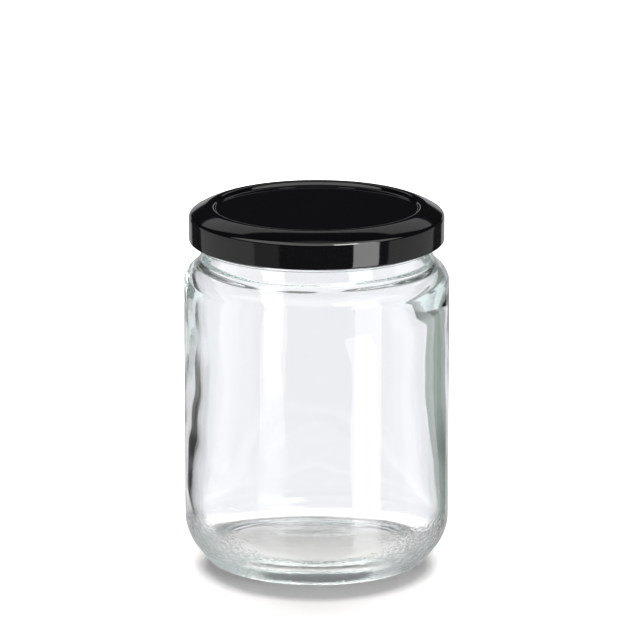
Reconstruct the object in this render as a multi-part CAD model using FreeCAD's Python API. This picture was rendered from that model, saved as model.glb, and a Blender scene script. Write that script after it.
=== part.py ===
import FreeCAD, Part
import math
import os

# A half-litre canning jar: a hollow glass jar with a wide lug finish, shut by a pressed
# steel twist-off lid that carries a ring of soft sealing compound.
# Millimetres.  The jar stands on z = 0 with its axis on Z, and the origin is the centre
# of the circle that it stands on.  Every piece is turned about Z, so each one is given
# as a half section in (radius, height).

# ---------------------------------------------------------------- driving dimensions
# Glass body
body_diameter = 88.8          # straight wall, outside
jar_height = 119.2            # base to the rim of the glass
wall = 3.0                    # side wall
shoulder_radius = 7.0         # outside round of the shoulder
shoulder_radius_inside = 4.2
neck_radius = 8.0             # hollow round between shoulder and neck, outside
neck_radius_inside = 10.4

# Heel and base
heel_width = 9.1              # straight wall in to the middle of the bearing ring
heel_height = 14.9            # height at which the heel meets the straight wall
heel_radius = 15.3
bearing_land = 1.6            # flat width of the ring that the jar stands on
bearing_round = 1.6           # round on both sides of that ring
bearing_inner_turn = 60.0     # degrees of round on the inner side
push_up = 3.0                 # hollow under the middle of the base
push_up_crown = 1.1           # rise of that hollow from its edge to its middle
push_up_step = 3.2            # width of the slope from the ring to that edge
base_thickness = 4.2          # glass at the middle of the base
floor_crown = 0.9             # rise of the inside floor from its edge to its middle
floor_round = 9.0             # inside round between floor and wall

# Lug finish of the glass
bore_diameter = 72.0          # clear way through the mouth
finish_wall = 3.5             # glass between the bore and the root of the finish
finish_height = 9.7           # rim down to the foot of the finish
finish_foot = 1.2             # height of the cone between neck and finish
neck_inset = 1.1              # root of the finish in to the narrowest outside
neck_land = 1.1               # straight height of that narrowest stretch
rim_round_outside = 1.2
rim_round_inside = 0.8
lug_count = 6
glass_lug_depth = 1.5         # how far each glass lug stands out
glass_lug_height = 2.0        # each glass lug, root to root
glass_lug_drop = 6.9          # rim down to the underside of a glass lug
glass_lug_nose = 0.5          # round along a lug's edge
glass_lug_slope = 20.0        # degrees that a lug's upper side falls
glass_lug_arc_radius = 21.0   # each lug is turned about its own, nearer axis, so it fades out
glass_lug_half_arc = 33.0     # degrees about that axis
glass_lug_lead = 2.5          # degrees that each lug climbs
glass_lug_let_in = 0.6        # how deep its root is sunk in the finish

# Pressed steel lid
sheet = 0.3                   # lacquered tinplate
shoulder_width = 6.9          # skirt in to the outer edge of the crest
shoulder_height = 4.0         # crest down to the start of the skirt's top round
skirt_round = 1.8
crest_round = 3.9             # outside of the crest
crest_land = 0.6              # flat width of the crest
crest_round_inside = 1.2
panel_recess = 1.4            # crest down to the sunk panel
panel_wall_angle = 60.0       # degrees from level
panel_round = 0.9
hem_diameter = 1.4            # curled edge
hem_turn = 250.0              # degrees of curl
steel_lug_height = 2.25
steel_lug_arc_radius = 16.0   # each lug is turned about its own axis outside the skirt
steel_lug_half_arc = 24.0     # degrees about that axis
steel_lug_nose = 0.7          # round on a lug's nose
steel_lug_rise = 0.15         # underside of a lug above the hem's lowest point

# Sealing compound
seal_thickness = 1.9          # rim of the glass to the underside of the crest
seal_overhang = 0.6           # past the root of the finish

# Clearances
hem_gap = 0.3                 # hem to the glass lugs that pass through it
lug_seat_gap = 0.3            # steel lug under glass lug
lug_root_gap = 0.35           # nose of a steel lug to the root of the finish
seal_gap = 0.08               # compound to the round parts of the lid's channel

# ---------------------------------------------------------------- worked-out sizes
body_r = body_diameter / 2
bearing_r = body_r - heel_width
bore_r = bore_diameter / 2
finish_r = bore_r + finish_wall
neck_r = finish_r - neck_inset
glass_lug_r = finish_r + glass_lug_depth
glass_lug_z = jar_height - glass_lug_drop
neck_z = jar_height - finish_height - finish_foot - neck_land
shoulder_turn = math.degrees(math.acos(1 - (body_r - neck_r) / (shoulder_radius + neck_radius)))
shoulder_z = neck_z - (shoulder_radius + neck_radius) * math.sin(math.radians(shoulder_turn))

hem_r = hem_diameter / 2
lid_r = glass_lug_r + hem_gap + hem_diameter
crest_r = lid_r - shoulder_width
lid_top = jar_height + seal_thickness + sheet
steel_lug_r = finish_r + lug_root_gap
steel_lug_top = glass_lug_z - lug_seat_gap
steel_lug_bottom = steel_lug_top - steel_lug_height
hem_z = steel_lug_bottom - steel_lug_rise
crest_centre = (crest_r, lid_top - crest_round)
corner_centre = (lid_r - skirt_round, lid_top - shoulder_height)

AXIS = FreeCAD.Vector(0, 0, 1)
ORIGIN = FreeCAD.Vector(0, 0, 0)


# ---------------------------------------------------------------- half sections
def point(r, z):
    return FreeCAD.Vector(r, 0, z)


def on_circle(centre, radius, degrees):
    """Point of a circle in the half section; 0 degrees points away from the axis."""
    angle = math.radians(degrees)
    return point(centre[0] + radius * math.cos(angle), centre[1] + radius * math.sin(angle))


def arc(centre, radius, start, end):
    """Round stretch of an outline, from one angle to the other."""
    places = [on_circle(centre, radius, a) for a in (start, (start + end) / 2, end)]
    return Part.Arc(*places).toShape()


def crown(edge_r, edge_z, rise, outward):
    """Shallow dome between the axis and its edge; it rises towards the axis."""
    radius = (edge_r**2 + rise**2) / (2 * rise)
    centre = (0, edge_z + rise - radius)
    edge_angle = 90 - math.degrees(math.asin(edge_r / radius))
    if outward:
        return arc(centre, radius, 90, edge_angle)
    return arc(centre, radius, edge_angle, 90)


def tangent_angle(centre_a, radius_a, centre_b, radius_b):
    """Angle at which one straight line leaves circle a and meets circle b, both inside it."""
    across = centre_b[0] - centre_a[0]
    up = centre_b[1] - centre_a[1]
    reach = math.acos((radius_a - radius_b) / math.hypot(across, up))
    return math.degrees(math.atan2(up, across) - reach)


def closed_face(pieces):
    """Face inside a run of points and arcs; straight lines join what doesn't meet."""
    edges = []
    ends = []
    for piece in pieces:
        if isinstance(piece, tuple):
            ends.append((point(*piece), point(*piece), None))
        else:
            ends.append((piece.valueAt(piece.FirstParameter), piece.valueAt(piece.LastParameter), piece))
    for (start, end, edge), following in zip(ends, ends[1:] + ends[:1]):
        if edge is not None:
            edges.append(edge)
        if (following[0] - end).Length > 1e-6:
            edges.append(Part.makeLine(end, following[0]))
    return Part.Face(Part.Wire(edges))


def turned(pieces, degrees=360):
    """Solid of revolution about Z."""
    return closed_face(pieces).revolve(ORIGIN, AXIS, degrees)


def centred_turn(pieces, half_angle):
    """Part of a turn, the same amount to each side of the X axis."""
    solid = turned(pieces, 2 * half_angle)
    solid.rotate(ORIGIN, AXIS, -half_angle)
    return solid


def around(shape, count):
    """Copies of a shape, evenly spaced about Z."""
    copies = []
    for index in range(count):
        copy = shape.copy()
        copy.rotate(ORIGIN, AXIS, index * 360 / count)
        copies.append(copy)
    return copies


def reversed_edges(pieces):
    """The same run, followed the other way."""
    flipped = []
    for piece in reversed(pieces):
        if isinstance(piece, tuple):
            flipped.append(piece)
            continue
        start = piece.valueAt(piece.FirstParameter)
        middle = piece.valueAt((piece.FirstParameter + piece.LastParameter) / 2)
        end = piece.valueAt(piece.LastParameter)
        flipped.append(Part.Arc(end, middle, start).toShape())
    return flipped


# ---------------------------------------------------------------- the glass
def shoulder_run(wall_r, top_r, round_out, round_in):
    """Shoulder and neck: one outward and one hollow round, tangent to each other."""
    turn = math.degrees(math.acos(1 - (wall_r - top_r) / (round_out + round_in)))
    top_z = shoulder_z + (round_out + round_in) * math.sin(math.radians(turn))
    shoulder = arc((wall_r - round_out, shoulder_z), round_out, 0, turn)
    neck = arc((top_r + round_in, top_z), round_in, 180 + turn, 180)
    return [shoulder, neck]


def base_run():
    """Underside, bearing ring and heel, from the axis out to the straight wall."""
    half_land = bearing_land / 2
    inner = (bearing_r - half_land, bearing_round)
    outer = (bearing_r + half_land, bearing_round)
    heel = (body_r - heel_radius, heel_height)
    angle = tangent_angle(outer, bearing_round, heel, heel_radius)
    hollow_edge = inner[0] - push_up_step
    return [
        crown(hollow_edge, push_up - push_up_crown, push_up_crown, True),
        arc(inner, bearing_round, 270 - bearing_inner_turn, 270),
        arc(outer, bearing_round, 270, 360 + angle),
        arc(heel, heel_radius, angle, 0),
    ]


def finish_run():
    """Foot, straight root and rounded rim of the finish, then the bore."""
    foot_z = jar_height - finish_height
    rim_out = (finish_r - rim_round_outside, jar_height - rim_round_outside)
    rim_in = (bore_r + rim_round_inside, jar_height - rim_round_inside)
    return [
        (neck_r, foot_z - finish_foot),
        (finish_r, foot_z),
        arc(rim_out, rim_round_outside, 0, 90),
        arc(rim_in, rim_round_inside, 90, 180),
    ]


def inside_run():
    """Inside of the glass, from the bore down to the middle of the floor."""
    inner_r = body_r - wall
    floor_z = push_up + base_thickness - floor_crown
    corner = (inner_r - floor_round, floor_z + floor_round)
    return reversed_edges(shoulder_run(inner_r, bore_r, shoulder_radius_inside, neck_radius_inside)) + [
        arc(corner, floor_round, 0, -90),
        crown(corner[0], floor_z, floor_crown, False),
    ]


def glass_lug():
    """One raised lug: thickest in the middle, fading into the finish at both ends."""
    root = glass_lug_arc_radius - glass_lug_depth - glass_lug_let_in
    nose_r = glass_lug_arc_radius - glass_lug_nose
    fall = glass_lug_depth * math.tan(math.radians(glass_lug_slope))
    top = glass_lug_z + glass_lug_height
    section = [
        (root, glass_lug_z),
        arc((nose_r, glass_lug_z + glass_lug_nose), glass_lug_nose, -90, 0),
        arc((nose_r, top - glass_lug_nose - fall / 2), glass_lug_nose, 0, 90 - glass_lug_slope),
        (root, top),
    ]
    lug = centred_turn(section, glass_lug_half_arc)
    lug.translate(FreeCAD.Vector(glass_lug_r - glass_lug_arc_radius, 0, 0))
    lug.rotate(FreeCAD.Vector(0, 0, glass_lug_z), FreeCAD.Vector(1, 0, 0), glass_lug_lead)
    return lug


def make_jar():
    outside = shoulder_run(body_r, neck_r, shoulder_radius, neck_radius)
    glass = turned(base_run() + outside + finish_run() + inside_run())
    return glass.fuse(around(glass_lug(), lug_count)).removeSplitter()


# ---------------------------------------------------------------- the lid
def lid_skin(depth):
    """Run of the lid's sheet from the axis out to the skirt, this deep under its top face."""
    panel_z = lid_top - panel_recess
    crest_in_r = crest_r - crest_land
    angle = math.radians(panel_wall_angle)
    rounds = panel_round + crest_round_inside
    straight = panel_recess - rounds * (1 - math.cos(angle))
    panel_r = crest_in_r - rounds * math.sin(angle) - straight / math.tan(angle)
    shoulder = tangent_angle(corner_centre, skirt_round, crest_centre, crest_round)
    panel_centre = (panel_r, panel_z + panel_round)
    inner_centre = (crest_in_r, lid_top - crest_round_inside)
    return [
        (0, panel_z - depth),
        arc(panel_centre, panel_round + depth, -90, panel_wall_angle - 90),
        arc(inner_centre, crest_round_inside - depth, 90 + panel_wall_angle, 90),
        arc(crest_centre, crest_round - depth, 90, shoulder),
        arc(corner_centre, skirt_round - depth, shoulder, 0),
    ]


def hem():
    """Curled edge: the sheet rolls inwards and up again."""
    centre = (lid_r - hem_r, hem_z + hem_r)
    return [arc(centre, hem_r, 0, -hem_turn), arc(centre, hem_r - sheet, -hem_turn, 0)]


def steel_lug():
    """One lug: the hem pressed inwards to catch under a lug of the glass, fading out at its ends."""
    axis_r = steel_lug_r + steel_lug_arc_radius
    nose_r = steel_lug_arc_radius - steel_lug_nose
    root = axis_r - lid_r
    section = [
        (root, steel_lug_bottom),
        arc((nose_r, steel_lug_bottom + steel_lug_nose), steel_lug_nose, -90, 0),
        arc((nose_r, steel_lug_top - steel_lug_nose), steel_lug_nose, 0, 90),
        (root, steel_lug_top),
    ]
    lug = centred_turn(section, steel_lug_half_arc)
    lug.rotate(ORIGIN, AXIS, 180)
    lug.translate(FreeCAD.Vector(axis_r, 0, 0))
    within_skirt = Part.makeCylinder(lid_r - sheet / 2, lid_top)
    return lug.common(within_skirt)


def make_lid():
    shell = turned(lid_skin(0) + hem() + reversed_edges(lid_skin(sheet)))
    return shell.fuse(around(steel_lug(), lug_count)).removeSplitter()


# ---------------------------------------------------------------- the sealing compound
def make_seal():
    """Ring of soft compound in the lid's channel: it seats on the rim and under the crest."""
    depth = sheet + seal_gap
    crest_in_r = crest_r - crest_land
    inner_round = crest_round_inside - depth
    outer_r = finish_r + seal_overhang
    shoulder = tangent_angle(corner_centre, skirt_round, crest_centre, crest_round)
    slope_start = on_circle(crest_centre, crest_round - depth, shoulder)
    slope_fall = (outer_r - slope_start.x) / math.tan(math.radians(shoulder))
    section = [
        (crest_in_r - inner_round, jar_height),
        arc((crest_in_r, lid_top - depth - inner_round), inner_round, 180, 90),
        (crest_in_r, lid_top - sheet),
        (crest_r, lid_top - sheet),
        arc(crest_centre, crest_round - depth, 90, shoulder),
        (outer_r, slope_start.z - slope_fall),
        (outer_r, jar_height),
    ]
    return turned(section)


# ---------------------------------------------------------------- one file for each piece
def main():
    os.makedirs("parts", exist_ok=True)
    pieces = {"jar": make_jar(), "lid": make_lid(), "seal": make_seal()}
    for name, shape in pieces.items():
        solid = shape.Solids[0]
        box = solid.BoundBox
        solid.exportStep("parts/" + name + ".step")
        print(name, len(shape.Solids), "solid, valid", solid.isValid(), "volume", round(solid.Volume, 1),
              "z", round(box.ZMin, 3), round(box.ZMax, 3), "width", round(box.XLength, 3))


main()
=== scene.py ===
# %% [markdown]
# # A canning jar in clear glass, shut with a black lacquered lid
#
# This lesson dresses a finished CAD model. The jar, its lid and the ring of sealing compound
# arrive as fixed meshes in metres, standing on the floor at z = 0 with their axis on Z. They
# could be shown as they are, but blown glass is uneven and pressed steel is softly bent, and
# reflections show both at once. So the jar and the lid are turned again here, within the same
# sizes, while the compound keeps its CAD mesh and only gets a finish.

# %% Open the frame
import math

import bpy
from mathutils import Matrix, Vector, noise


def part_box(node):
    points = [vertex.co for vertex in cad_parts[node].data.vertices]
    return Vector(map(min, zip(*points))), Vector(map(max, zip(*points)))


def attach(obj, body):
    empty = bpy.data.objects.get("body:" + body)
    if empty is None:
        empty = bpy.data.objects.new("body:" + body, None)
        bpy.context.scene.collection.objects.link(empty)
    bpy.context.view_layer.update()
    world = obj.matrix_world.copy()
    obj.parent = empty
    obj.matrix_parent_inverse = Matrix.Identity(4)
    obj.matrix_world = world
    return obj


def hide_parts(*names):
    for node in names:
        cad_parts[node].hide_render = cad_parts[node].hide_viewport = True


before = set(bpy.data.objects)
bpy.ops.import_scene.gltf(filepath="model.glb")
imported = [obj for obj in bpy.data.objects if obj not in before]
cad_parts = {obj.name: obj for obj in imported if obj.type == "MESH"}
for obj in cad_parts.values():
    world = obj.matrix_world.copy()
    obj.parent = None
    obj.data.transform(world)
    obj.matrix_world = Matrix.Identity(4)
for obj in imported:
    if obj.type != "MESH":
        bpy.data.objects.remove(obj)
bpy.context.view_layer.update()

print("nodes:", sorted(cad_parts))

# %% [markdown]
# ## Sizes
#
# Three boxes give all the outer sizes: how wide the glass is, where its rim lies and how far
# the lid reaches. They could be typed in again, but reading them keeps the dressed model on
# the CAD model, and naming them once keeps the later cells free of loose numbers.

# %% Sizes read from the frame
MM = 0.001

glass_low, glass_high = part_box("jar")
lid_low, lid_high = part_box("lid")
body_r = (glass_high[0] - glass_low[0]) / 2
rim_z = glass_high[2]
lid_r = (lid_high[0] - lid_low[0]) / 2
hem_z = lid_low[2]
lid_top = lid_high[2]
print(f"body radius {body_r / MM:.1f} mm, rim at {rim_z / MM:.1f} mm, lid radius {lid_r / MM:.1f} mm")

# %% [markdown]
# ## The glass as a turned shape
#
# A jar is blown into a mould that is almost perfectly round, so its outside is a lathe shape.
# It could be modelled as a cylinder with bevelled edges, but the shoulder, the neck and the
# heel meet each other in true arcs, and light in the glass shows any kink. So the outline is
# a run of arcs joined by straight lines, first along the outside from the middle of the base
# to the rim, then back down the inside.

# %% Arcs and straight runs of an outline
same_place = 0.01 * MM


def bend(centre, radius, start, end, step=7.5):
    """Points of an arc in (radius, height), from one angle to the other, in degrees."""
    count = max(2, math.ceil(abs(end - start) / step))
    angles = [math.radians(start + (end - start) * i / count) for i in range(count + 1)]
    return [(centre[0] + radius * math.cos(a), centre[1] + radius * math.sin(a)) for a in angles]


def straight(start, end, step):
    """Evenly spaced points between two ends, which are left out."""
    count = max(1, math.ceil(math.dist(start, end) / step))
    return [
        (start[0] + (end[0] - start[0]) * i / count, start[1] + (end[1] - start[1]) * i / count)
        for i in range(1, count)
    ]


def joined(runs, step):
    """One outline from several runs, with straight lines between them."""
    outline = list(runs[0])
    for run in runs[1:]:
        outline += straight(outline[-1], run[0], step)
        outline += [point for point in run if math.dist(point, outline[-1]) > same_place]
    return outline


def dome(edge_r, edge_z, rise, count=8):
    """A shallow dome from the axis out to its edge."""
    shares = [i / count for i in range(count + 1)]
    return [(edge_r * share, edge_z + rise * (1 - share**2)) for share in shares]


print("a quarter bend of 10 mm has", len(bend((0, 0), 10 * MM, 0, 90)), "points")

# %% [markdown]
# The mould gives the outside its sizes. The neck is narrower than the finish above it, which
# leaves room for the lid's lugs. Two opposite bends of the same turn lead from the neck to
# the body. A wide heel and a round shoulder hold the glass together when it is knocked. The
# jar stands on a narrow flat ring, and the base is pushed up inside that ring, so that it
# can't rock. These sizes could be shares of the height, but a mould is cut to millimetres.

# %% Sizes of the mould
bore_r = 36.0 * MM
finish_r = 39.5 * MM
neck_r = 38.4 * MM
shoulder_round = 7.0 * MM
neck_round = 8.0 * MM
neck_z = rim_z - 12.0 * MM
shoulder_turn = math.degrees(math.acos(1 - (body_r - neck_r) / (shoulder_round + neck_round)))
shoulder_z = neck_z - (shoulder_round + neck_round) * math.sin(math.radians(shoulder_turn))

heel_z = 14.9 * MM
heel_round = 15.3 * MM
ring_r = body_r - 9.1 * MM
ring_land = 1.6 * MM
ring_round = 1.6 * MM
push_up = 3.0 * MM
push_up_crown = 1.1 * MM
print(f"shoulder from {shoulder_z / MM:.1f} mm, turning through {shoulder_turn:.0f} degrees")

# %% [markdown]
# Now the runs follow each other from the axis to the rim: the crown of the push-up, the
# bearing ring, the heel, the shoulder, the neck, the slope under the finish and the rim. Only
# the line between the ring and the heel has to be worked out, as it must touch both arcs.
# It could be drawn by eye, but then a faint edge would run round the bottom of the jar.

# %% The outside of the glass
def meeting_angle(a, radius_a, b, radius_b):
    """Angle at which one straight line leaves circle a and meets circle b."""
    across, up = b[0] - a[0], b[1] - a[1]
    lean = math.acos((radius_a - radius_b) / math.hypot(across, up))
    return math.degrees(math.atan2(up, across) - lean)


def glass_outside():
    ring_in = (ring_r - ring_land / 2, ring_round)
    ring_out = (ring_r + ring_land / 2, ring_round)
    heel = (body_r - heel_round, heel_z)
    angle = meeting_angle(ring_out, ring_round, heel, heel_round)
    crown_r = ring_in[0] - 3.2 * MM
    slope = [(neck_r, neck_z + 1.1 * MM), (finish_r, neck_z + 2.3 * MM)]
    rim_round = 1.2 * MM
    return joined([
        dome(crown_r, push_up - push_up_crown, push_up_crown),
        bend(ring_in, ring_round, 210, 270, 15),
        bend(ring_out, ring_round, 270, 360 + angle, 12),
        bend(heel, heel_round, angle, 0, 3),
        bend((body_r - shoulder_round, shoulder_z), shoulder_round, 0, shoulder_turn, 5),
        bend((neck_r + neck_round, neck_z), neck_round, 180 + shoulder_turn, 180, 5),
        slope,
        bend((finish_r - rim_round, rim_z - rim_round), rim_round, 0, 90, 15),
    ], step=2.0 * MM)


outside = glass_outside()
print(f"outside: {len(outside)} points, widest {max(r for r, z in outside) / MM:.2f} mm off the axis")

# %% [markdown]
# Nothing but air shapes the inside. It follows the outside at a distance, with wider bends,
# because hot glass can't follow a tight corner from within. An offset of the outside could
# stand for it, but the floor is thicker than the wall and its corner much rounder than the
# heel, so the inside has arcs of its own.

# %% The inside of the glass
wall = 3.0 * MM


def glass_inside():
    inner_r = body_r - wall
    floor_round = 9.0 * MM
    floor_z = push_up + 3.3 * MM
    floor_crown = 0.9 * MM
    round_out, round_in = 4.2 * MM, 10.4 * MM
    turn = math.degrees(math.acos(1 - (inner_r - bore_r) / (round_out + round_in)))
    bore_z = shoulder_z + (round_out + round_in) * math.sin(math.radians(turn))
    rim_round = 0.8 * MM
    corner = (inner_r - floor_round, floor_z + floor_round)
    return joined([
        bend((bore_r + rim_round, rim_z - rim_round), rim_round, 90, 180, 15),
        bend((bore_r + round_in, bore_z), round_in, 180, 180 + turn, 2.5),
        bend((inner_r - round_out, shoulder_z), round_out, turn, 0, 5),
        bend(corner, floor_round, 0, -90, 5),
        dome(corner[0], floor_z, floor_crown)[::-1],
    ], step=2.0 * MM)


hollow = glass_inside()
print(f"inside: {len(hollow)} points, floor {hollow[-1][1] / MM:.1f} mm up on the axis")

# %% [markdown]
# ## How uneven blown glass is
#
# Blown glass cools from the mould side, so the skin that touches the air creeps before it
# sets, and the wall ends up thick in one place and thin in another. A noise texture could
# fake this on the surface. But the edges of the jar bend light through the whole wall, so it
# is the thickness that has to vary. Three small functions are enough to describe it: a
# smooth step, a smooth hump, and slow lumps that don't repeat round the jar.

# %% Steps, humps and lumps
def settle(value, low, high):
    """Smooth step from 0 at low to 1 at high."""
    t = min(1.0, max(0.0, (value - low) / (high - low)))
    return t * t * (3 - 2 * t)


def swell(value, middle, reach):
    """A smooth hump: 1 at the middle, 0 beyond its reach."""
    return math.cos(math.pi / 2 * min(1.0, abs(value - middle) / reach)) ** 2


def drift(angle, z, size, seed):
    """Soft noise on the surface of the jar, about -1 to 1, for lumps of one size."""
    place = Vector((body_r * math.cos(angle), body_r * math.sin(angle), z)) / size
    return noise.noise(place + Vector((seed, 0.0, 0.0)))


print(f"drift on the right, half way up: {drift(0.0, rim_z / 2, 26 * MM, 3.0):.3f}")

# %% [markdown]
# In this jar the glass crept to the middle of the wall and thins out below the shoulder,
# lower and more gently on the left. On the left there is also less of it just above the heel.
# A fold was left inside the shoulder, where the air pressed the glass into the mould last,
# with a faint echo above it. A sculpted mesh could show the same, but formulas in
# millimetres can be read and changed. Everything but the fold fades out before the floor
# and the neck.

# %% How thick the blown wall is
def crept_glass(left, z):
    """Glass that gathered at mid height, in millimetres; left is 1 on the left, 0 on the right."""
    thins_from = 89 * MM - left * 32 * MM
    thins_to = 101 * MM + left * 11 * MM
    gathered = 2.1 + 0.2 * left
    foot = left * swell(z, 25 * MM, 22 * MM) * 0.5
    return settle(z, 12 * MM, 60 * MM) * (1 - settle(z, thins_from, thins_to)) * gathered - foot


def shoulder_fold(angle, z):
    """The fold inside the shoulder and its echo above, in millimetres."""
    fold_z = rim_z - 17.9 * MM + 0.7 * MM * drift(angle, 0.0, 30 * MM, 5.0)
    fold_depth = 1.4 + 0.3 * drift(angle, z, 14 * MM, 6.0)
    echo_z, echo_depth = fold_z + 6.4 * MM, 0.4
    return swell(z, fold_z, 2.4 * MM) * fold_depth + swell(z, echo_z, 1.1 * MM) * echo_depth


def extra_wall(angle, z):
    """Glass added to the even wall at this place, in metres; it may be negative."""
    below_neck = 1 - settle(z, shoulder_z - 2 * MM, shoulder_z + 7 * MM)
    held = settle(z, 10 * MM, 24 * MM) * below_neck
    left = (1 - math.cos(angle)) / 2
    lumps = 0.30 * drift(angle, z, 26 * MM, 3.0) + 0.12 * drift(angle, z, 11 * MM, 8.0)
    lumpiness = 0.4 + 0.3 * left
    return (held * (crept_glass(left, z) + lumps * lumpiness) + shoulder_fold(angle, z)) * MM


for height_mm in (20, 40, 60, 80, 100):
    sides = [(wall + extra_wall(angle, height_mm * MM)) / MM for angle in (math.pi, 0.0)]
    print(f"wall {height_mm} mm up: left {sides[0]:.1f} mm, right {sides[1]:.1f} mm")

# %% [markdown]
# ## The lathe
#
# Turning a profile in Blender could be done with a Screw modifier. Here each point of the
# outline becomes one ring of points instead, since a `shape` function can then move every
# single point. That is how the uneven wall, the lugs and the worn mould get into a shape that
# is otherwise round. The two ends close on the axis with fans, so the mesh is watertight.

# %% The lathe
on_axis = 0.001 * MM


def lathe(name, outline, segments, shape):
    """Turns an outline round the axis; shape may move each point of it."""
    verts, faces, rings = [], [], []
    for index, (r, z) in enumerate(outline):
        if r < on_axis:
            verts.append((0.0, 0.0, z))
            rings.append([len(verts) - 1])
            continue
        ring = []
        for step in range(segments):
            angle = 2 * math.pi * step / segments
            shaped_r, shaped_z = shape(index, angle, r, z)
            ring.append(len(verts))
            verts.append((shaped_r * math.cos(angle), shaped_r * math.sin(angle), shaped_z))
        rings.append(ring)
    for low, high in zip(rings, rings[1:]):
        for step in range(segments):
            after = (step + 1) % segments
            if len(low) == 1:
                faces.append((low[0], high[after], high[step]))
            elif len(high) == 1:
                faces.append((low[step], low[after], high[0]))
            else:
                faces.append((low[step], low[after], high[after], high[step]))
    mesh = bpy.data.meshes.new(name)
    mesh.from_pydata(verts, [], faces)
    mesh.validate()
    mesh.shade_smooth()
    piece = bpy.data.objects.new(name, mesh)
    bpy.context.scene.collection.objects.link(piece)
    print(f"{name}: {len(verts)} points, {len(faces)} faces")
    return piece


print("anything nearer the axis than", on_axis, "metres closes with a fan")

# %% [markdown]
# A mould wears. The heel of this one is dented a little, and its ring is stippled on purpose,
# so that hot glass isn't chilled by a smooth plate. Such marks could be bump alone, but the
# larger ones show in the jar's outline and in the light on its edges, so they move points.

# %% Marks of the mould
marks_top = 25 * MM


def mould_marks(angle, r, z):
    """How far the worn heel lies inside the true outline, and the stippled ring above it."""
    heel = settle(r, ring_r - 1 * MM, ring_r + 5 * MM) * (1 - settle(z, 14 * MM, 22 * MM))
    broad = 0.05 * (1 + drift(angle, z, 4.0 * MM, 11.0))
    fine = 0.03 * (1 + drift(angle, z, 2.0 * MM, 12.0))
    ring = swell(r, ring_r - 1 * MM, 4 * MM) * (1 - settle(z, 1.0 * MM, 2.4 * MM))
    stipple = 0.24 * (1 + drift(angle, r, 1.6 * MM, 13.0))
    return heel * (broad + fine) * MM, ring * stipple * MM


worn_here = mould_marks(0.0, body_r - 4 * MM, 5 * MM)[0]
print(f"worn heel, on the right: {worn_here / MM:.3f} mm inside the true outline")

# %% [markdown]
# The finish of the glass carries six lugs, which the lid's own lugs slide under. They are
# short ridges that rise and fall softly along their length, with a steep lower face to hold
# the lid. Six separate blocks would leave seams in the glass, so the outline is simply
# pushed out where a lug stands.

# %% The lugs of the glass
LUGS = 6
lug_depth = 1.5 * MM
lug_z = rim_z - 6.9 * MM
lug_height = 2.0 * MM
lug_zone = 1.5 * MM
lug_flat, lug_end = 0.13, 0.26


def glass_lug(angle, z):
    """How far a lug of the finish stands out at this place; turn is in shares of the pitch."""
    turn = (angle * LUGS / (2 * math.pi) + 0.5) % 1.0 - 0.5
    along = 1 - settle(abs(turn), lug_flat, lug_end)
    below_top = 1 - settle(z, lug_z + 1.4 * MM, lug_z + 2.2 * MM)
    return lug_depth * along * (settle(z, lug_z - 0.3 * MM, lug_z + 0.3 * MM) * below_top)


def jar_shape(index, angle, r, z):
    """Adds the lugs and mould marks to the outside and the blown unevenness to the inside."""
    if index >= len(outside):
        return r - extra_wall(angle, z), z
    if z < marks_top:
        worn, stipple = mould_marks(angle, r, z)
        return r - worn, z + stipple
    level_with_lugs = lug_z - lug_zone <= z <= lug_z + lug_height + lug_zone
    if level_with_lugs and r >= finish_r - 0.2 * MM:
        return r + glass_lug(angle, z), z
    return r, z


print(f"{LUGS} lugs, {lug_depth / MM:.1f} mm deep, from {lug_z / MM:.1f} mm up")

# %% [markdown]
# With its outline and its shape function ready, the jar is turned in one piece. Fewer
# segments would do for an opaque pot, but the edge of clear glass shows every corner. The
# piece rides on the one body of this object and stands in for the CAD jar.

# %% Turn the jar
jar = lathe("glass_jar", outside + hollow, segments=240, shape=jar_shape)
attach(jar, "root")
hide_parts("jar")

# %% [markdown]
# ## The lid as a pressed and curled sheet
#
# The lid is stamped from tinplate. Its top is sunk, a crest runs round the sunk panel, and a
# sloping shoulder leads to the skirt. The press leaves a faint curve on the shoulder, and the
# lacquer shows it: a lamp's reflection narrows to a line at the front. A cylinder with an
# inset top would lack that curve, so one wide arc is worked out, which touches the round of
# the crest and the round of the skirt.

# %% The curve of the lid's shoulder
crest_r = lid_r - 6.9 * MM
crest_round = 3.9 * MM
crest_leave = 72
skirt_round = 1.8 * MM
skirt_drop = 4.0 * MM


def swept_shoulder(crest, corner):
    """Centre, radius and end angle of the wide arc from the crest to the skirt's corner."""
    leave = math.radians(crest_leave)
    across, up = corner[0] - crest[0], corner[1] - crest[1]
    towards = across * math.cos(leave) + up * math.sin(leave)
    change = crest_round - skirt_round
    reach = (across**2 + up**2 - change**2) / (2 * (change - towards))
    centre = (crest[0] - reach * math.cos(leave), crest[1] - reach * math.sin(leave))
    meet = math.degrees(math.atan2(corner[1] - centre[1], corner[0] - centre[0]))
    return centre, crest_round + reach, meet


crest = (crest_r, lid_top - crest_round)
skirt_corner = (lid_r - skirt_round, lid_top - skirt_drop)
swept, swept_r, meet = swept_shoulder(crest, skirt_corner)
print(f"shoulder arc: radius {swept_r / MM:.0f} mm, from {crest_leave} to {meet:.0f} degrees")

# %% [markdown]
# A pressed sheet has the same thickness all over. It could be made from one face with a
# Solidify modifier, but that thins out in tight bends. Here the outline takes a depth under
# the outer face. Every arc keeps its centre and only its radius changes, so the two faces
# stay exactly one sheet thickness apart.

# %% The lid's outline, this deep under its outer face
sheet = 0.3 * MM
panel_sunk = 1.4 * MM


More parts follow.
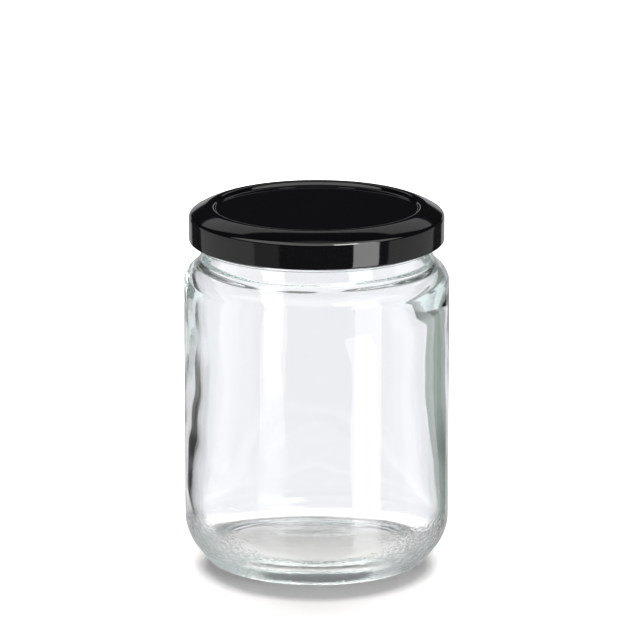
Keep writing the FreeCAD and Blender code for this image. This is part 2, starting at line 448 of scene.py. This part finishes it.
def lid_outline(depth):
    panel_z = lid_top - panel_sunk
    panel_round, crest_inside = 0.9 * MM, 1.2 * MM
    crest_in_r = crest_r - 0.6 * MM
    slope = 60
    lean = math.radians(slope)
    rounds = panel_round + crest_inside
    rise = panel_sunk - rounds * (1 - math.cos(lean))
    panel_r = crest_in_r - rounds * math.sin(lean) - rise / math.tan(lean)
    return joined([
        [(0.0, panel_z - depth)],
        bend((panel_r, panel_z + panel_round), panel_round + depth, -90, slope - 90),
        bend((crest_in_r, lid_top - crest_inside), crest_inside - depth, 90 + slope, 90),
        bend(crest, crest_round - depth, 90, crest_leave, 3),
        bend(swept, swept_r - depth, crest_leave, meet, 1.5),
        bend(skirt_corner, skirt_round - depth, meet, 0, 5),
    ], step=3.0 * MM)


print(f"lid outline: {len(lid_outline(0))} points, in sheet {sheet / MM:.1f} mm thick")

# %% [markdown]
# The sheet ends in a curled hem, so that no cut edge is left, and the hem is pinched inwards
# and up at six places. Those lugs catch under the lugs of the glass when the lid is turned.
# Six small blocks would do the job in a drawing, but the real ones are the hem itself, so the
# curl is bent in by the `shape` function, along a round nose of its own.

# %% The curled hem and its lugs
hem_r = 0.7 * MM
nose_round = 16.0 * MM
nose_axis_r = finish_r + 0.35 * MM + nose_round
full_pinch = 1.45 * MM
pitch = 360 / LUGS
curl_turn = 250


def hem_outline():
    """The outer and the inner face of the curl."""
    centre = (lid_r - hem_r, hem_z + hem_r)
    outer = bend(centre, hem_r, 0, -curl_turn, 12)
    return outer, bend(centre, hem_r - sheet, -curl_turn, 0, 15)


def lid_shape(index, angle, r, z):
    """Pinches the hem inwards and up at the six lugs."""
    if z > hem_z + 2 * hem_r + 0.1 * MM or r > lid_r - 0.5 * MM:
        return r, z
    turn = math.radians(((math.degrees(angle) + pitch / 2) % pitch) - pitch / 2)
    off_nose = nose_axis_r * math.sin(turn)
    nose_r = nose_axis_r * math.cos(turn) - math.sqrt(max(0.0, nose_round**2 - off_nose**2))
    pinch = max(0.0, lid_r - 2 * hem_r - nose_r)
    share = 1 - settle(r, lid_r - 1.1 * MM, lid_r - 0.5 * MM)
    lift = 0.15 * MM + (z - hem_z) / (2 * hem_r) * 0.85 * MM
    return r - pinch * share, z + lift * min(1.0, pinch / full_pinch * 2) * share


curl_out, curl_in = hem_outline()
print(f"hem: {2 * hem_r / MM:.1f} mm thick, {len(curl_out)} points outside, {len(curl_in)} inside")

# %% [markdown]
# The skin of the lid runs down its outer face, round the curl and back along its inner face.
# The lathe expects an outline that climbs along the outside, so that faces look outwards.
# The faces could be flipped afterwards, but it is simpler to hand in the skin the other way
# round.

# %% Turn the lid
lid_skin = joined([lid_outline(0), curl_out, curl_in, lid_outline(sheet)[::-1]], step=3.0 * MM)
lid = lathe("steel_lid", lid_skin[::-1], segments=288, shape=lid_shape)
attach(lid, "root")
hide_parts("lid")

# %% [markdown]
# ## Shader maths as plain sums
#
# A finish is a tree of nodes, and a tree is hard to read once it has thirty Math nodes. This
# small class wraps one output socket. Adding, subtracting or multiplying adds the Math node
# and returns its output, so a mask reads like the formula that it is. Every other node comes
# from `make`, which sets the node up first and then fills or links its sockets. Sockets can
# be named or numbered, as some nodes have several sockets of one name.

# %% The socket wrapper
class Wire:
    """An output socket of a node tree, with arithmetic that adds Math nodes."""

    def __init__(self, tree, socket=None):
        self.tree = tree
        self.socket = socket

    def make(self, kind, settings=None, sockets=None, out=0):
        """Adds a node: its type, its settings, then values or links for its sockets."""
        node = self.tree.nodes.new(kind)
        for name, value in (settings or {}).items():
            setattr(node, name, value)
        for name, value in (sockets or {}).items():
            if isinstance(value, Wire):
                self.tree.links.new(value.socket, node.inputs[name])
            else:
                node.inputs[name].default_value = value
        return Wire(self.tree, node.outputs[out]) if len(node.outputs) else node

    def other(self, name):
        """Another output of the node that this wire comes from."""
        return Wire(self.tree, self.socket.node.outputs[name])

    def math(self, operation, *others):
        terms = dict(enumerate((self,) + others))
        return self.make("ShaderNodeMath", {"operation": operation}, terms)

    def __add__(self, other):
        return self.math("ADD", other)

    __radd__ = __add__

    def __mul__(self, other):
        return self.math("MULTIPLY", other)

    __rmul__ = __mul__

    def __sub__(self, other):
        return self.math("SUBTRACT", other)

    def __rsub__(self, other):
        return self.make("ShaderNodeMath", {"operation": "SUBTRACT"}, {0: other, 1: self})

    def __abs__(self):
        return self.math("ABSOLUTE")


print("Wire offers:", sorted(name for name, part in vars(Wire).items() if callable(part)))

# %% [markdown]
# Most finishes are built from masks: 1 where something is, 0 where it isn't, and a soft edge
# between. A ramp of colours could do it, but a smooth step between two named values says
# where the edge lies. Places are vectors, and a Math node would keep only one number of
# them, so they go through Vector Math.

# %% Masks, places and new finishes
def fades_in(wire, start, end):
    """0 at start, 1 at end, smooth between; start may be the larger of the two."""
    sockets = {"Value": wire, "From Min": start, "From Max": end}
    return wire.make("ShaderNodeMapRange", {"interpolation_type": "SMOOTHSTEP"}, sockets)


def inside(wire, low, high, soft):
    """1 between low and high, with soft edges."""
    return fades_in(wire, low - soft, low + soft) * fades_in(wire, high + soft, high - soft)


def vector_math(place, operation, by):
    return place.make("ShaderNodeVectorMath", {"operation": operation}, {0: place, 1: by})


def length(place):
    return place.make("ShaderNodeVectorMath", {"operation": "LENGTH"}, {0: place}, out=1)


def axes(place):
    """The x, y and z of a place, as three wires."""
    x = place.make("ShaderNodeSeparateXYZ", sockets={"Vector": place})
    return x, x.other("Y"), x.other("Z")


def new_finish(name):
    """An empty material and the wire from which its nodes are made."""
    material = bpy.data.materials.new(name)
    material.use_nodes = True
    material.node_tree.nodes.clear()
    return material, Wire(material.node_tree)


print("plain materials of the frame:", [material.name for material in bpy.data.materials])

# %% [markdown]
# ## Clear glass
#
# Some marks of the mould are too fine for points: the stipple of the bearing ring, a rough
# scar under the base, and ripples on the heel, mostly at its sides and towards the front.
# They could be a displacement, but a bump costs no triangles and bends light just as well.
# Each kind of mark has its own mask, and each noise has its middle at 0, so that no mask
# leaves a step at its edge.

# %% The texture that the mould leaves
def mould_texture(start):
    place = start.make("ShaderNodeTexCoord").other("Object")
    x, y, z = axes(place)
    radius = length(vector_math(place, "MULTIPLY", (1, 1, 0)))

    ring = inside(radius, ring_r - 3 * MM, ring_r + 3 * MM, soft=1 * MM)
    ring = ring * fades_in(z, 2.2 * MM, 1.0 * MM)
    scar = fades_in(abs(x), 15 * MM, 5 * MM) * inside(y, 6 * MM, 13 * MM, soft=4 * MM)
    scar = scar * fades_in(z, 4.5 * MM, 4.0 * MM)
    side = fades_in(abs(x), 12 * MM, 36 * MM) * fades_in(y, 22 * MM, -8 * MM) * 0.9 + 0.1
    heel = fades_in(z, 20 * MM, 6 * MM) * fades_in(radius, ring_r, ring_r + 3 * MM) * side

    knurled = {"Vector": place, "Scale": 900.0, "Detail": 2.0}
    knurl = place.make("ShaderNodeTexNoise", sockets=knurled)
    level_ripples = vector_math(place, "MULTIPLY", (1, 1, 2.2))
    rippled = {"Vector": level_ripples, "Scale": 560.0, "Detail": 3.0}
    ripple = place.make("ShaderNodeTexNoise", sockets=rippled)
    height = (knurl - 0.5) * (ring + scar * 5) + (ripple - 0.5) * heel * 1.1
    sockets = {"Height": height, "Strength": 1.0, "Distance": 0.8 * MM}
    return place.make("ShaderNodeBump", sockets=sockets)


print(f"stipple from {(ring_r - 3 * MM) / MM:.1f} to {(ring_r + 3 * MM) / MM:.1f} mm off the axis")

# %% [markdown]
# Soda-lime glass bends light with an index of about 1.52. Iron in the sand makes it faintly
# green, which only shows where light runs a long way inside the wall. A green surface colour
# would tint thin and thick glass alike, so the surface stays white and the tint is a weak
# absorption in the volume.

# %% The glass finish
def glass_finish():
    material, start = new_finish("clear_glass")
    surface = start.make("ShaderNodeBsdfPrincipled", sockets={
        "Base Color": (1.0, 1.0, 1.0, 1.0), "Roughness": 0.0, "IOR": 1.52,
        "Transmission Weight": 1.0, "Normal": mould_texture(start),
    })
    faint_green = {"Color": (0.70, 0.90, 0.84, 1.0), "Density": 4.5}
    depth = start.make("ShaderNodeVolumeAbsorption", sockets=faint_green)
    start.make("ShaderNodeOutputMaterial", sockets={"Surface": surface, "Volume": depth})
    return material


jar.data.materials.append(glass_finish())
print("jar wears", jar.data.materials[0].name)

# %% [markdown]
# ## Black lacquer
#
# The lid is tinplate, printed black and baked under a clear varnish. Almost all that shows is
# the reflection in the varnish. A metal shader would colour that reflection, so this is a
# plain dark surface with a strong gloss. A low, wide ripple stands for the flow of the
# varnish, and a slow change in roughness for the hands that have touched it.

# %% The lid finish
def lacquer_finish():
    material, start = new_finish("black_lacquer")
    place = start.make("ShaderNodeTexCoord").other("Object")
    flowed = {"Vector": place, "Scale": 220.0, "Detail": 1.0}
    flow = place.make("ShaderNodeTexNoise", sockets=flowed)
    handled = {"Vector": place, "Scale": 35.0, "Detail": 4.0}
    touch = place.make("ShaderNodeTexNoise", sockets=handled)
    low_ripple = {"Height": flow, "Strength": 0.05, "Distance": 0.1 * MM}
    surface = start.make("ShaderNodeBsdfPrincipled", sockets={
        "Base Color": (0.004, 0.004, 0.005, 1.0), "Roughness": touch * 0.05 + 0.03, "IOR": 1.85,
        "Normal": place.make("ShaderNodeBump", sockets=low_ripple),
    })
    start.make("ShaderNodeOutputMaterial", sockets={"Surface": surface})
    return material


lid.data.materials.append(lacquer_finish())
print("lid wears", lid.data.materials[0].name)

# %% [markdown]
# ## Sealing compound
#
# The ring inside the lid is a soft plastic, flowed in while liquid. It is off-white and dull,
# with a faint mottling. Its CAD mesh is as plain as the real ring, so it is kept, and its
# slots are given this finish. The mottling mixes two colours. The Mix node has a factor, an
# A and a B for each kind of data under the same names, so its colour sockets are numbered.

# %% The compound finish
def colour_mix(mask, dark, light):
    """The first colour where the mask is 0 and the second where it is 1."""
    factor, first, second, colour = 0, 6, 7, 2
    sockets = {factor: mask, first: dark, second: light}
    return mask.make("ShaderNodeMix", {"data_type": "RGBA"}, sockets, out=colour)


def compound_finish():
    material, start = new_finish("sealing_compound")
    place = start.make("ShaderNodeTexCoord").other("Object")
    mottled = {"Vector": place, "Scale": 300.0, "Detail": 3.0}
    mottle = place.make("ShaderNodeTexNoise", sockets=mottled)
    surface = start.make("ShaderNodeBsdfPrincipled", sockets={
        "Base Color": colour_mix(mottle, (0.60, 0.58, 0.53, 1.0), (0.74, 0.72, 0.67, 1.0)),
        "Roughness": 0.55,
    })
    start.make("ShaderNodeOutputMaterial", sockets={"Surface": surface})
    return material


compound = compound_finish()
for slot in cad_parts["seal"].material_slots:
    slot.material = compound
print("seal wears", compound.name)

# %% [markdown]
# ## The camera
#
# A long lens from two metres away keeps the sides of the jar almost parallel, where a short
# lens from close by would make the base look small. It looks down by a little under fifteen
# degrees, so that the lid shows as a flat ellipse.

# %% The camera
camera_distance = 2.0
camera_tilt = math.radians(14.76)
look_x = 1.11 * MM
look_z = 81.75 * MM

lens = bpy.data.cameras.new("camera")
lens.sensor_width = 36.0
lens.lens = 335.9
lens.clip_end = 20.0
camera = bpy.data.objects.new("camera", lens)
camera.location = (
    look_x,
    -camera_distance * math.cos(camera_tilt),
    look_z + camera_distance * math.sin(camera_tilt),
)
camera.rotation_euler = (math.pi / 2 - camera_tilt, 0, 0)
bpy.context.scene.collection.objects.link(camera)
bpy.context.scene.camera = camera
print("camera at", [round(value, 3) for value in camera.location], "metres")

# %% [markdown]
# ## The room
#
# Clear glass and black gloss have almost no colour of their own: they show the room. It could
# be built from cards and cloths, as a studio does, but the room is only ever seen in the jar,
# so it is painted on the world by direction. `bearing` is 0 straight behind the jar, positive
# to the right and 180 at the front; `height` is the angle above the floor.
#
# Through the glass one sees a white table, with a dark gap on each side of it. The gaps draw
# the edges of the glass: a dark line on the left, a wide green-grey band on the right.

# %% What is seen through the glass
left_gap_near, left_gap_far = -32.6, -61.0
right_gap_near, right_gap_far = 17.0, 60.0


def seen_through(bearing, height):
    """Light from behind for rays that came through glass, and the mask of the right gap."""
    raised = fades_in(height, -12.0, -6.0)
    left_edge = raised * 6.0 + left_gap_near
    left_gap = fades_in(left_edge - bearing, -1.0, 1.0)
    left_gap = left_gap * fades_in(bearing, left_gap_far - 1.0, left_gap_far + 1.0)
    left_fade = fades_in(bearing, -12.0, -38.0) * fades_in(bearing, -66.0, -60.0)
    left_dark = left_fade * 0.24 + left_gap * (0.66 + raised * 0.07)
    left_dark = left_dark * fades_in(height, -27.0, -20.0)

    right_gap = inside(bearing, right_gap_near, right_gap_far, soft=0.8)
    deeper_above = 0.24 * fades_in(height, -10.0, -5.0)
    deeper_below = 0.20 * fades_in(height, -17.0, -22.0)
    right_dark = right_gap * (0.60 + deeper_above + deeper_below)

    table = fades_in(height, 1.0, -3.0)
    dim_above = 0.22
    return table * (1.0 - left_dark - right_dark) + (1 - table) * dim_above, right_gap


print(f"left gap {left_gap_near - left_gap_far:.0f} degrees wide, "
      f"right gap {right_gap_far - right_gap_near:.0f} degrees wide")

# %% [markdown]
# Reflections show the rest of the room: pale side walls, a bank of light behind the jar that
# lies on the lid's shoulder, a light above the lens that lies on the far side of its crest,
# and a small bright key that leaves a dash on the near corner. Real lamps could give the same
# dashes, but they would light the floor as well. Everything else is dark, which is what makes
# the lacquer look black.

# %% What is seen in gloss
def walls_in_gloss(bearing):
    """The low part of the room, as a strength by bearing."""
    table = inside(bearing, -27.0, 27.0, soft=3.0) * 0.95
    left_wall = inside(bearing, -122.0, -52.0, soft=1.5) * 0.65
    left_corner = inside(bearing, -146.0, -122.0, soft=1.5) * 0.25
    right_wall = inside(bearing, 50.0, 112.0, soft=1.5) * 0.55
    unlit = 0.05
    return table + (left_wall + left_corner) + right_wall + unlit


def patch(bearing, height, sides, heights, light, soft):
    """A lit rectangle of the room: its bearings, its heights and its strength."""
    return inside(height, *heights, soft=1.0) * inside(bearing, *sides, soft=soft) * light


def seen_in_gloss(bearing, height):
    """Everything that the lid and the outside of the glass reflect."""
    low = fades_in(height, 9.0, 5.0)
    bank = patch(bearing, height, sides=(-36.0, 36.0), heights=(27.0, 52.0), light=0.7, soft=1.5)
    key = patch(bearing, height, sides=(139.0, 163.0), heights=(28.0, 41.0), light=18.0, soft=1.0)
    front = 1 - inside(bearing, -92.0, 92.0, soft=1.5)
    above_lens = inside(height, 24.0, 74.0, soft=1.0) * front * 2.0
    overhead = fades_in(height, 74.0, 76.0) * 0.35
    unlit_above, dimmer = 0.012, 0.52
    room_light = low * walls_in_gloss(bearing) + (1 - low) * unlit_above
    return (room_light + bank + above_lens + overhead + key) * dimmer


print("lights in gloss: a bank behind, a light above the lens, an overhead glow and a key")

# %% [markdown]
# The world answers each kind of ray in its own way. The camera sees plain white. A ray that
# left the glass counts as a glossy ray too, so gloss is only what didn't pass through. Rays
# that were reflected inside the glass and leave to the front see the dark front of the room,
# and the others see the table. One picture of a room on the world couldn't tell these rays
# apart. Dull surfaces get an even, plain level.

# %% The room
front_glow = 0.12
plain_level = 0.40
white = (1.0, 1.0, 1.0, 1.0)
cool = (0.985, 0.995, 1.03, 1.0)
green = (0.86, 1.0, 0.93, 1.0)


def room():
    world = bpy.data.worlds.new("studio")
    bpy.context.scene.world = world
    world.use_nodes = True
    world.node_tree.nodes.clear()
    start = Wire(world.node_tree)
    x, y, z = axes(start.make("ShaderNodeTexCoord").other("Generated"))
    degrees = 180 / math.pi
    bearing = x.math("ARCTAN2", y) * degrees
    height = z.math("ARCSINE") * degrees
    behind, right_gap = seen_through(bearing, height)
    in_gloss = seen_in_gloss(bearing, height)

    path = start.make("ShaderNodeLightPath")
    is_camera = path.other("Is Camera Ray")
    is_through = path.other("Is Transmission Ray")
    is_glossy = path.other("Is Glossy Ray") * (1 - is_through)
    is_plain = (1 - is_camera - is_glossy - is_through).math("MAXIMUM", 0.0)
    to_front = fades_in(y, 0.0, -0.1) * fades_in(path.other("Glossy Depth"), 0.2, 0.8)
    through_glass = to_front * (in_gloss + front_glow) + (1 - to_front) * behind
    strength = is_camera + is_glossy * in_gloss
    strength = strength + is_through * through_glass + is_plain * plain_level

    tint = colour_mix(is_through, white, cool)
    tint = colour_mix(right_gap * is_through * (1 - to_front), tint, green)
    background = start.make("ShaderNodeBackground", sockets={"Color": tint, "Strength": strength})
    start.make("ShaderNodeOutputWorld", sockets={"Surface": background})
    return world


studio = room()
print("room:", len(studio.node_tree.nodes), "nodes")

# %% [markdown]
# ## The floor
#
# The jar stands on a white table that glows a little, as such tables do in a light tent. More
# lamps could whiten it, but they would wash out the jar's shadow. So the glow is weak round
# the jar and a little in front of it, on the side away from the lamps. That is a painted shadow,
# which deepens the shadow that the floor keeps there. Under the glass the table glows more for
# rays that come through it, which is painted light beneath the jar. Over the bearing ring that
# glow is left out, which paints a dark ring of contact.

# %% The glow of the table, with painted shadows
glow_under_glass, glow_in_painted_shadow, glow_near, glow_far = 0.64, 0.04, 0.46, 0.6
contact_in, contact_out = ring_r - 2.0 * MM, ring_r + 5.0 * MM
# Where the painted shadow lies: its middle, shifted to the front of the jar, and its inner and outer
# edge.
painted_shadow_shift = 14 * MM
painted_shadow_in, painted_shadow_out = 35 * MM, 43 * MM


def table_glow(place, across, is_through):
    """How much the table glows: under the glass, round the jar and far off, with painted shadows in
    front of the jar and over the bearing ring.
    """
    # Over the bearing ring the glow seen through the glass is left out: a painted contact shadow.
    contact = inside(across, contact_in, contact_out, soft=1.2 * MM)
    # Elsewhere under the glass the table glows more: painted light beneath the jar.
    under_glass = is_through * (1 - contact) * glow_under_glass
    # The glow fades in round a point in front of the jar: a painted shadow that deepens the jar's
    # real shadow there.
    from_painted_shadow = length(vector_math(place, "ADD", (0.0, painted_shadow_shift, 0.0)))
    out_of_painted_shadow = fades_in(from_painted_shadow, painted_shadow_in, painted_shadow_out)
    near_floor = (1 - is_through) * (glow_in_painted_shadow + glow_near * out_of_painted_shadow)
    far_floor = fades_in(across, 0.2, 0.7) * glow_far
    return under_glass + near_floor + far_floor


print(f"contact ring from {contact_in / MM:.1f} to {contact_out / MM:.1f} mm off the axis")

# %% [markdown]
# The table is plain matt white with that glow added. Rays that come through the glass and
# meet the table farther out pass on to the room, which is painted to be seen there. It is one
# flat square: a sweep that rises behind the jar would hide the room from the glass. It is
# kept out of reflections for the same reason.

# %% The table finish and the floor
def table_finish():
    material, start = new_finish("white_table")
    place = start.make("ShaderNodeNewGeometry")
    across = length(place)
    is_through = start.make("ShaderNodeLightPath").other("Is Transmission Ray")
    black, warm = (0.0, 0.0, 0.0, 1.0), (1.0, 0.98, 0.955, 1.0)
    colour = colour_mix(table_glow(place, across, is_through), black, warm)
    glow = start.make("ShaderNodeEmission", sockets={"Color": colour, "Strength": 1.0})
    plain = start.make("ShaderNodeBsdfDiffuse", sockets={"Color": (0.85, 0.85, 0.85, 1.0)})
    both = start.make("ShaderNodeAddShader", sockets={0: plain, 1: glow})
    clear = start.make("ShaderNodeBsdfTransparent")
    passes = is_through * fades_in(across, 42 * MM, 60 * MM)
    mixed = start.make("ShaderNodeMixShader", sockets={0: passes, 1: both, 2: clear})
    start.make("ShaderNodeOutputMaterial", sockets={"Surface": mixed})
    return material


def floor(half):
    """A square sheet at z = 0, which reaches this far from the axis."""
    mesh = bpy.data.meshes.new("floor")
    corners = [(-half, -half, 0), (half, -half, 0), (half, half, 0), (-half, half, 0)]
    mesh.from_pydata(corners, [], [(0, 1, 2, 3)])
    mesh.materials.append(table_finish())
    flat = bpy.data.objects.new("floor", mesh)
    flat.visible_glossy = False
    bpy.context.scene.collection.objects.link(flat)
    return flat


table = floor(half=3.0)
print(f"floor: {len(table.data.polygons)} face, wears {table.data.materials[0].name}")

# %% [markdown]
# ## The lamps
#
# Two soft boxes behind and above the jar light the table, and put the jar's short shadow in
# front of it. They aren't shown in reflections, because the room already holds the lights
# that gloss should see. The tall strip at the right could be painted on the room as well. But
# it stands near, and only a real lamp's reflection then shifts between the lid, the front of
# the glass and its far wall.

# %% The lamps
def lamp(name, size, place, aim, power, mirrored):
    light = bpy.data.lights.new(name, "AREA")
    light.shape = "RECTANGLE"
    light.size, light.size_y = size
    light.energy = power
    holder = bpy.data.objects.new(name, light)
    holder.location = place
    across, along, up = (aim[i] - place[i] for i in range(3))
    lean = math.atan2(math.hypot(across, along), -up)
    holder.rotation_euler = (lean, 0, math.atan2(along, across) - math.pi / 2)
    holder.visible_camera = False
    holder.visible_glossy = mirrored
    bpy.context.scene.collection.objects.link(holder)
    print(f"{name}: {power} W, {math.degrees(lean):.0f} degrees from straight down")


jar_middle = (0.0, 0.0, 0.06)
box_size, box_power = (0.7, 0.9), 11.0
box_x, box_y, box_z = 0.4, 0.75, 1.15
lamp("left_softbox", box_size, (-box_x, box_y, box_z), jar_middle, box_power, mirrored=False)
lamp("right_softbox", box_size, (box_x, box_y, box_z), jar_middle, box_power, mirrored=False)

strip_size, strip_power = (0.386, 1.2), 3.2
strip_bearing, strip_distance, strip_z = math.radians(44.5), 0.9, 0.1
strip_x = strip_distance * math.sin(strip_bearing)
strip_y = -strip_distance * math.cos(strip_bearing)
strip_place, strip_aim = (strip_x, strip_y, strip_z), (0, 0, strip_z)
lamp("right_strip", strip_size, strip_place, strip_aim, strip_power, mirrored=True)

# %% [markdown] ## Last settings  Light is caught in the thick heel and shoulder and is
# reflected many times before it leaves. With the usual number of bounces such places end in
# black patches, so the glass is allowed more. The view transform is Standard, so that a
# colour shows as it is written.

# %% Finish
bounces = 32
cycles = bpy.context.scene.cycles
cycles.max_bounces = bounces
cycles.glossy_bounces = bounces
cycles.transmission_bounces = bounces
bpy.context.scene.view_settings.view_transform = "Standard"
